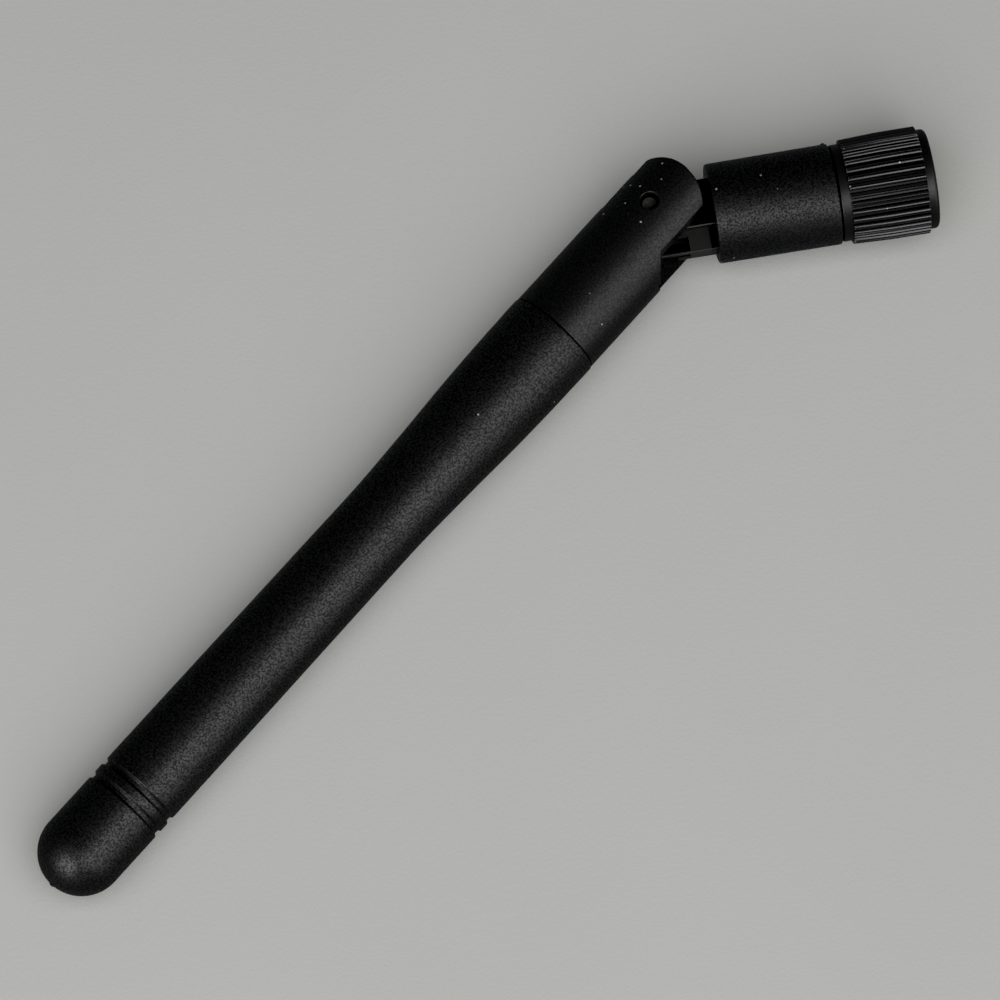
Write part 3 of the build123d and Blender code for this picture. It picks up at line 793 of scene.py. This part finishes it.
# %% Grip
grip_back, grip_front = plain_span("knurled_sleeve")
RIDGES = 36
RIDGE_HALF = 0.37            # half the width of a ridge, of a pitch of about 0.95
RIDGE_POWER = 2.4
BACK_GROOVE_DEPTH = 0.24     # share of the ridge's height
BACK_GROOVE_HALF = 0.07
RIDGE_MARGIN = 1.0           # plain neck behind the ridges and plain rim before them
RIDGE_BACK, RIDGE_FRONT = grip_back + RIDGE_MARGIN, grip_front - RIDGE_MARGIN
RIDGE_PHASE = math.radians(7.0)
NECK_RADIUS, RIM_RADIUS, FLUTE_RADIUS = 4.92, 5.05, 4.93
RIDGE_BACK_RADIUS, RIDGE_FRONT_RADIUS = 5.30, 5.46
RIDGE_FULL = (RIDGE_BACK + RIDGE_FRONT) / 2
NUT_APOTHEM, NUT_CORNER = 4.0, 4.5
GRIP_BORE, POCKET_CHAMFER = 3.7, 0.12


def ridge_columns():
    """Angles of the columns and the share of ridge at each, for all the ridges round the axis.

    Across a ridge the place is the cosine and the height the sine of a turn, each to the power
    of two over the superellipse's own power.
    """
    turn = np.linspace(math.pi, 0, 23)
    place = RIDGE_HALF * np.sign(np.cos(turn)) * np.abs(np.cos(turn)) ** (2 / RIDGE_POWER)
    height = np.clip(np.sin(turn), 0, 1) ** (2 / RIDGE_POWER)
    height = height - BACK_GROOVE_DEPTH * (1 - smooth_step(np.abs(place) / BACK_GROOVE_HALF))
    pitch = 2 * math.pi / RIDGES
    place = place / RIDGE_FRONT_RADIUS + pitch / 2
    flute = np.linspace(place[-1], pitch + place[0], 6)[1:-1]
    place, height = np.append(place, flute), np.append(height, np.zeros(len(flute)))
    starts = np.arange(RIDGES)[:, None] * pitch
    angles = (starts + place).ravel()
    return angles + RIDGE_PHASE, np.tile(height, RIDGES)


def hexagon_radius(angle, apothem, corner):
    """Reach of a hexagon with its corners turned down: the apothem over the cosine, at most so."""
    beside = angle % (math.pi / 3) - math.pi / 6
    return np.minimum(apothem / np.cos(beside), corner)


def grip_grid():
    """Flute and ridge profiles mixed round the axis, closed through the hexagonal pocket."""
    def loop(back_radius, full_radius, front_radius, rounding):
        corners = [(grip_back, GRIP_BORE), (grip_back, NECK_RADIUS, 0.18), (RIDGE_BACK, NECK_RADIUS),
                   (RIDGE_BACK, back_radius, rounding), (RIDGE_FULL, full_radius),
                   (RIDGE_FRONT, front_radius, rounding), (RIDGE_FRONT, RIM_RADIUS),
                   (grip_front, RIM_RADIUS, 0.42), (grip_front, NUT_CORNER + POCKET_CHAMFER)]
        return rounded_profile(corners, 6)

    flute = loop(FLUTE_RADIUS, FLUTE_RADIUS, FLUTE_RADIUS, 0.01)
    ridge = loop(RIDGE_BACK_RADIUS, RIDGE_FRONT_RADIUS, RIDGE_FRONT_RADIUS, 0.08)
    angles, share = ridge_columns()
    mixed = flute[:, None, :] + (ridge - flute)[:, None, :] * share[None, :, None]
    x, radius = mixed[..., 0], mixed[..., 1]
    pocket = hexagon_radius(angles, NUT_APOTHEM, NUT_CORNER)
    nut_back, _ = plain_span("coupling_nut")
    inner_x = np.array([grip_front, grip_front - POCKET_CHAMFER, 0.0, nut_back, nut_back, grip_back])
    bore = np.full_like(pocket, GRIP_BORE)
    inner_radius = np.stack([pocket + 0.1, pocket, pocket, pocket, bore, bore])
    x = np.concatenate([x, np.broadcast_to(inner_x[:, None], inner_radius.shape)])
    radius = np.concatenate([radius, inner_radius])
    return np.stack([x, radius * np.cos(angles), radius * np.sin(angles)], axis=-1)


make_piece("ridged_grip", grip_grid(), "coupling", grip_finish,
           ["knurled_sleeve"], sharp=50)

# %% [markdown]
# ## Brass nut with its thread
#
# The thread is cut, not drawn: the bore's radius follows a zigzag that moves one pitch forward for
# each turn, which is just a function of the angle and the distance along the axis. Its crests are
# cut flat. The outside is a hexagon whose corners are turned down.

# %% Metal finishes


def plated_metal(name, colour, dull, roughness, turned=True):
    """Turned and plated metal: fine rings from the tool, with dull patches where it was handled."""
    finish = Finish(name)
    if turned:
        fine = finish.noise(0.10, 2.0, 0.6, finish.moved(scale=(1.0, 0.05, 0.05)))
    else:
        fine = finish.noise(0.12, 2.0, 0.6)
    patches = finish.noise(1.6, 3.0, 0.6).step(0.40, 0.72)
    tone = finish.blend(patches, colour, dull)
    return finish.set(Base_Color=tone, Metallic=1.0, Roughness=roughness + patches * 0.14,
                      Normal=finish.bump(fine, 0.003))


gold_finish = plated_metal("gold plate", (0.86, 0.60, 0.24), (0.66, 0.46, 0.20), 0.20)
brass_finish = plated_metal("bare brass", (0.72, 0.52, 0.22), (0.45, 0.31, 0.14), 0.30)
steel_finish = plated_metal("spring steel", (0.52, 0.51, 0.49), (0.36, 0.35, 0.34), 0.28, False)
crimp_finish = plated_metal("crimped copper", (0.70, 0.62, 0.50), (0.48, 0.40, 0.32), 0.34, False)

# %% Nut
nut_back, nut_front = plain_span("coupling_nut")
THREAD_PITCH = 25.4 / 36
THREAD_CREST, THREAD_DEPTH, THREAD_LENGTH = 2.85, 0.34, 3.5
THREAD_FLAT, THREAD_SLOPE = 0.16, 0.74   # shares of half a pitch: the flat crest and the flank
LEAD_IN, LEAD_IN_RISE = 0.45, 0.36
RELIEF_LENGTH = 0.3
RELIEF_RADIUS, LIP_RADIUS = 3.25, 2.42
TURNED_RADIUS = 4.12                     # the hexagon's corners are turned down to it at both ends
NUT_GAP = 0.004                          # keeps the nut's flats off the sleeve's pocket
LIP_START = nut_back + 2.3
RING_GROOVE = (nut_back + 1.05, nut_back + 1.65, 2.85)


def thread_radius(x, angle):
    """Crest radius plus a zigzag of the turn less the angle, cut flat where it would be sharp."""
    phase = (x / THREAD_PITCH - angle / (2 * math.pi)) % 1
    zigzag = np.abs(phase - 0.5) * 2
    depth = np.clip((zigzag - THREAD_FLAT) / THREAD_SLOPE, 0, 1) * THREAD_DEPTH
    lead_in = np.clip((x - nut_front + LEAD_IN) / LEAD_IN, 0, 1)
    return np.maximum(THREAD_CREST + depth, THREAD_CREST + LEAD_IN_RISE * lead_in)


def nut_grid():
    """Closed loop of rows: the hexagon outside, the mouth, the thread, the relief and the lip."""
    corners = np.concatenate([np.radians([-2.73, -1.4, 0.0, 1.4, 2.73]) + i * math.pi / 3
                              for i in range(6)])
    angles = np.sort(np.concatenate([even_angles(180) + 0.001, corners]) % (2 * math.pi))
    hexagon = hexagon_radius(angles, NUT_APOTHEM, NUT_CORNER) - NUT_GAP
    turned_end = np.minimum(hexagon, TURNED_RADIUS)
    start = nut_front - THREAD_LENGTH - RELIEF_LENGTH
    thread_x = np.linspace(nut_front, start, 74)
    thread = thread_radius(thread_x[:, None], angles[None, :])

    def ring(radius):
        return np.full_like(angles, radius)

    inner = [(start, RELIEF_RADIUS), (LIP_START, RELIEF_RADIUS), (LIP_START, LIP_RADIUS),
             (RING_GROOVE[1], LIP_RADIUS), (RING_GROOVE[1], RING_GROOVE[2]),
             (RING_GROOVE[0], RING_GROOVE[2]), (RING_GROOVE[0], LIP_RADIUS), (nut_back, LIP_RADIUS)]
    outer_x = [nut_back, nut_back + 0.18, nut_front - 0.22, nut_front]
    x = np.concatenate([outer_x, thread_x, [place for place, _ in inner], [nut_back]])
    radius = np.stack([turned_end, hexagon, hexagon, turned_end, *thread,
                       *(ring(value) for _, value in inner), turned_end])
    return np.stack([np.broadcast_to(x[:, None], radius.shape), radius * np.cos(angles),
                     radius * np.sin(angles)], axis=-1)


make_piece("brass_nut", nut_grid(), "coupling", gold_finish, ["coupling_nut"], sharp=24)

# %% [markdown]
# ## Hinge pin
#
# The pin is moulded in the same black plastic and its ends are sunk in the fork. The end that
# shows was the gate end of its own mould, so it has a torn, uneven stub, and the pin's rim is
# rounded. Height over the end face is a bump plus seeded waves of the two coordinates.

# %% Pin
pin_low, pin_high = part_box("hinge_pin")
PIN_RADIUS = (pin_high.x - pin_low.x) / 2 / MM
PIN_HALF = (pin_high.z - pin_low.z) / 2 / MM
PIN_ROUNDING, STUB_RECESS = 0.12, 0.05
STUB_RADIUS, STUB_SIDE = 0.30, 0.22
STUB_HEIGHT, STUB_TEAR = 0.07, 0.055


def torn_end(x, y):
    """Height over the end face: a low round stub whose top is torn by three crossing waves."""
    off_axis = np.hypot(x, y)
    stub = 1 - smooth_step((off_axis - STUB_RADIUS) / STUB_SIDE)
    torn = np.sin(9.1 * x + 4.0 * y + 0.4) + 0.8 * np.sin(-5.3 * x + 11.7 * y + 1.9)
    torn = torn + 0.5 * np.sin(17.0 * x - 6.0 * y)
    return stub * (STUB_HEIGHT + STUB_TEAR * torn)


def pin_grid():
    """Rows from the middle of one end, over the rounded rims, to the middle of the other."""
    face = PIN_HALF - STUB_RECESS
    corners = [(-PIN_HALF, 0.001), (-PIN_HALF, PIN_RADIUS, PIN_ROUNDING),
               (face, PIN_RADIUS, PIN_ROUNDING), (face, 0.001)]
    profile = divided(rounded_profile(corners, 6), 0.045)
    profile = profile[(np.abs(profile[:, 0]) > PIN_HALF - 0.3) | (np.arange(len(profile)) % 12 == 0)]
    angles = even_angles(96)
    height, radius = profile[:, :1], profile[:, 1:2]
    x, y = radius * np.cos(angles), radius * np.sin(angles)
    top = (height > face - 0.01) & (radius < PIN_RADIUS - 0.1)
    z = np.minimum(height + np.where(top, torn_end(x, y), 0.0), PIN_HALF)
    return np.stack([PIN[0] + x, PIN[1] + y, z], axis=-1)


make_piece("pin_with_gate_mark", pin_grid(), "base", pin_finish, ["hinge_pin"])

# %% [markdown]
# ## Lead across the hinge
#
# A thin coaxial lead runs through the whole antenna and has to bend at the hinge. Its line is one
# arc between two straights, as in the CAD, and a circle is carried along it. It runs along the
# base at one end and along the bent whip at the other, and turns smoothly between.

# %% Lead
LEAD_RADIUS, LEAD_BEND_RADIUS = 0.565, 9.0
LOOP_START, LOOP_END = 4.1, 7.0      # from the pin, towards the connector and along the whip


def lead_line(count):
    """Points and side directions of a straight, an arc of one radius and a straight."""
    way = np.array([-math.cos(BEND), -math.sin(BEND)])
    start = np.array([PIN[0] + LOOP_START, 0.0])
    end = PIN[:2] + np.array([math.sin(BEND), -math.cos(BEND)]) * PIN[1] + way * LOOP_END
    corner = end - way * end[1] / way[1]
    reach = LEAD_BEND_RADIUS * math.tan(BEND / 2)
    before, after = corner[0] + reach, corner + way * reach
    lengths = [start[0] - before, LEAD_BEND_RADIUS * BEND, float(np.linalg.norm(end - after))]
    along = np.linspace(0, sum(lengths), count)
    turn = np.clip((along - lengths[0]) / LEAD_BEND_RADIUS, 0, BEND)
    extra = np.clip(along - lengths[0] - lengths[1], 0, None)
    x = start[0] - np.minimum(along, lengths[0]) - LEAD_BEND_RADIUS * np.sin(turn) + way[0] * extra
    y = -LEAD_BEND_RADIUS * (1 - np.cos(turn)) + way[1] * extra
    return np.stack([x, y], axis=-1), turn


def lead_grid():
    """A circle about each point of the line, in the plane square to it, closed at both ends."""
    line, turn = lead_line(60)
    angles = even_angles(32)
    radius = np.full(len(line), LEAD_RADIUS)
    line = np.concatenate([line[:1], line, line[-1:]])
    turn = np.concatenate([turn[:1], turn, turn[-1:]])
    radius = np.concatenate([[0.0], radius, [0.0]])
    side = np.stack([-np.sin(turn), np.cos(turn)], axis=-1)
    out = (radius[:, None] * np.cos(angles))[..., None] * side[:, None, :]
    flat = line[:, None, :] + out
    return np.concatenate([flat, (radius[:, None] * np.sin(angles))[..., None]], axis=-1)


def jacket_plastic():
    """Smooth grey fluoropolymer jacket with slight waviness along it."""
    finish = Finish("lead jacket")
    wave = finish.noise(0.8, 2.0, 0.5)
    tone = finish.blend(wave, (0.020, 0.020, 0.021), (0.032, 0.032, 0.033))
    return finish.set(Base_Color=tone, Roughness=0.32 + wave * 0.12, Normal=finish.bump(wave, 0.01))


jacket_finish = jacket_plastic()
lead = make_piece("lead_at_hinge", lead_grid(), None, jacket_finish,
                  ["lead_hinge_loop"])
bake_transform(lead)

# %% [markdown]
# ## Details of the cap
#
# The cap is the CAD solid, with its slot and ears. Its mould met along the same two sides as the
# radome's, so two beads of a hair's height run along it, each a low arch carried along a straight
# line whose height wanders a little.

# %% Parting lines of the cap
CAP_RADIUS = 4.98
BEAD_HALF_WIDTH, BEAD_SUNK = 0.10, 0.02  # the bead's foot lies a little under the cap's skin


def cap_line_grid(side, start, end, seed):
    """A low arch from start to end on one side of the cap: rows along it, columns across."""
    x = np.linspace(start, end, 90)
    fade = smooth_step((x - start) / 0.8) * smooth_step((end - x) / 0.8)
    height = LINE_HEIGHT * (0.75 + 0.25 * wander(x, seed, 4.0)) * (0.3 + 0.7 * fade)
    across = np.linspace(-1, 1, 9)
    arch = 1 - across ** 2
    radius = CAP_RADIUS - BEAD_SUNK + (height[:, None] + BEAD_SUNK) * arch[None, :]
    angle = across * BEAD_HALF_WIDTH / CAP_RADIUS
    y = side * radius * np.cos(angle)
    z = radius * np.sin(angle)
    top = np.stack([np.broadcast_to(x[:, None], y.shape), y, z], axis=-1)
    under = top[:, ::-1].copy()
    under[..., 1] = side * (CAP_RADIUS - 0.05)
    ring = np.concatenate([top, under[:, 1:-1]], axis=1)
    first, last = ring[:1].copy(), ring[-1:].copy()
    first[...] = ring[:1].mean(axis=1, keepdims=True)
    last[...] = ring[-1:].mean(axis=1, keepdims=True)
    return turned_about_pin(np.concatenate([first, ring, last]), BEND)


line_start = radome_seam + 0.1
make_piece("cap_line_outer", cap_line_grid(1, line_start, PIN[0] + 2.0, 5), "whip", cap_finish)
make_piece("cap_line_inner", cap_line_grid(-1, line_start, PIN[0] - 7.2, 6), "whip", cap_finish)

# %% [markdown]
# ## Finishes of the CAD pieces
#
# The other pieces keep their CAD shapes. Inside the whip, the radiating rod and tube are bare
# brass, the lead's layers are fluoropolymer and silvered braid, and foam and plastic rings hold
# them in the middle. Each gets a finish of its own, although only a few are seen.

# %% Finishes of the inner pieces


def soft_polymer(name, low, high, roughness, size, depth):
    """A matt polymer with mottling of a given size between two tones."""
    finish = Finish(name)
    mottle = finish.noise(size, 3.0, 0.6)
    tone = finish.blend(mottle, low, high)
    return finish.set(Base_Color=tone, Roughness=roughness + mottle * 0.1,
                      Normal=finish.bump(mottle, depth))


def braided_metal():
    """Silvered braid: two sets of fine slanted ridges that cross."""
    finish = Finish("silvered braid")
    weave = []
    for slant in (0.7, -0.7):
        sockets = {"Vector": finish.moved(rotation=(0.0, 0.0, slant)), "Scale": 1 / (0.9 * MM)}
        weave.append(finish.node("ShaderNodeTexWave", {"bands_direction": "X"}, sockets, 1))
    height = weave[0] * weave[1]
    tone = finish.blend(height, (0.30, 0.29, 0.27), (0.66, 0.65, 0.62))
    return finish.set(Base_Color=tone, Metallic=1.0, Roughness=0.45 - height * 0.12,
                      Normal=finish.bump(height, 0.05))


ptfe_finish = soft_polymer("white fluoropolymer", (0.74, 0.74, 0.71), (0.82, 0.82, 0.80), 0.42, 0.5,
                           0.01)
dielectric_finish = soft_polymer("lead dielectric", (0.70, 0.70, 0.66), (0.80, 0.80, 0.77), 0.40, 0.3,
                                 0.01)
foam_finish = soft_polymer("spacer foam", (0.055, 0.055, 0.06), (0.10, 0.10, 0.11), 0.88, 0.35, 0.12)
bush_finish = soft_polymer("bush plastic", (0.60, 0.58, 0.52), (0.68, 0.66, 0.60), 0.45, 0.8, 0.01)
shrink_finish = soft_polymer("shrink tube", (0.012, 0.012, 0.013), (0.022, 0.022, 0.023), 0.36, 0.6,
                             0.02)
solder_finish = plated_metal("solder", (0.62, 0.62, 0.60), (0.44, 0.44, 0.43), 0.26, False)
core_finish = plated_metal("silvered core", (0.76, 0.75, 0.72), (0.60, 0.59, 0.57), 0.22, False)
braid_finish = braided_metal()

# %% Each CAD node's finish
FINISHES = {
    "hinge_clevis": cap_finish, "hinge_tongue": tongue_finish,
    "connector_body": gold_finish, "centre_socket": gold_finish, "insulator": ptfe_finish,
    "retaining_ring": steel_finish, "swivel_clip": steel_finish, "friction_washer": steel_finish,
    "crimp_ferrule": crimp_finish, "lower_lead_jacket": jacket_finish,
    "lower_lead_braid": braid_finish, "lower_lead_dielectric": dielectric_finish,
    "lower_lead_core": core_finish, "upper_lead_jacket": jacket_finish,
    "upper_lead_braid": braid_finish, "upper_lead_dielectric": dielectric_finish,
    "upper_lead_core": core_finish, "choke_sleeve": brass_finish, "radiator_rod": brass_finish,
    "solder_joint": solder_finish, "choke_bush": bush_finish, "radome_spacer": foam_finish,
    "tip_spacer": foam_finish, "heat_shrink": shrink_finish,
}
for node, material in FINISHES.items():
    for place in frame["nodes"][node].material_slots:
        place.material = material
print(len(FINISHES), "CAD pieces finished; the rest are replaced:",
      sorted(set(frame["nodes"]) - set(FINISHES)))

# %% [markdown]
# ## Sizes
#
# The looks are meant not to make the object larger. Both boxes are printed.

# %% Write both boxes
look_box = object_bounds()
sizes = {"cad": [list(corner) for corner in cad_box], "look": [list(corner) for corner in look_box]}
for name, corners in sizes.items():
    print(name, [[round(value / MM, 3) for value in corner] for corner in corners])
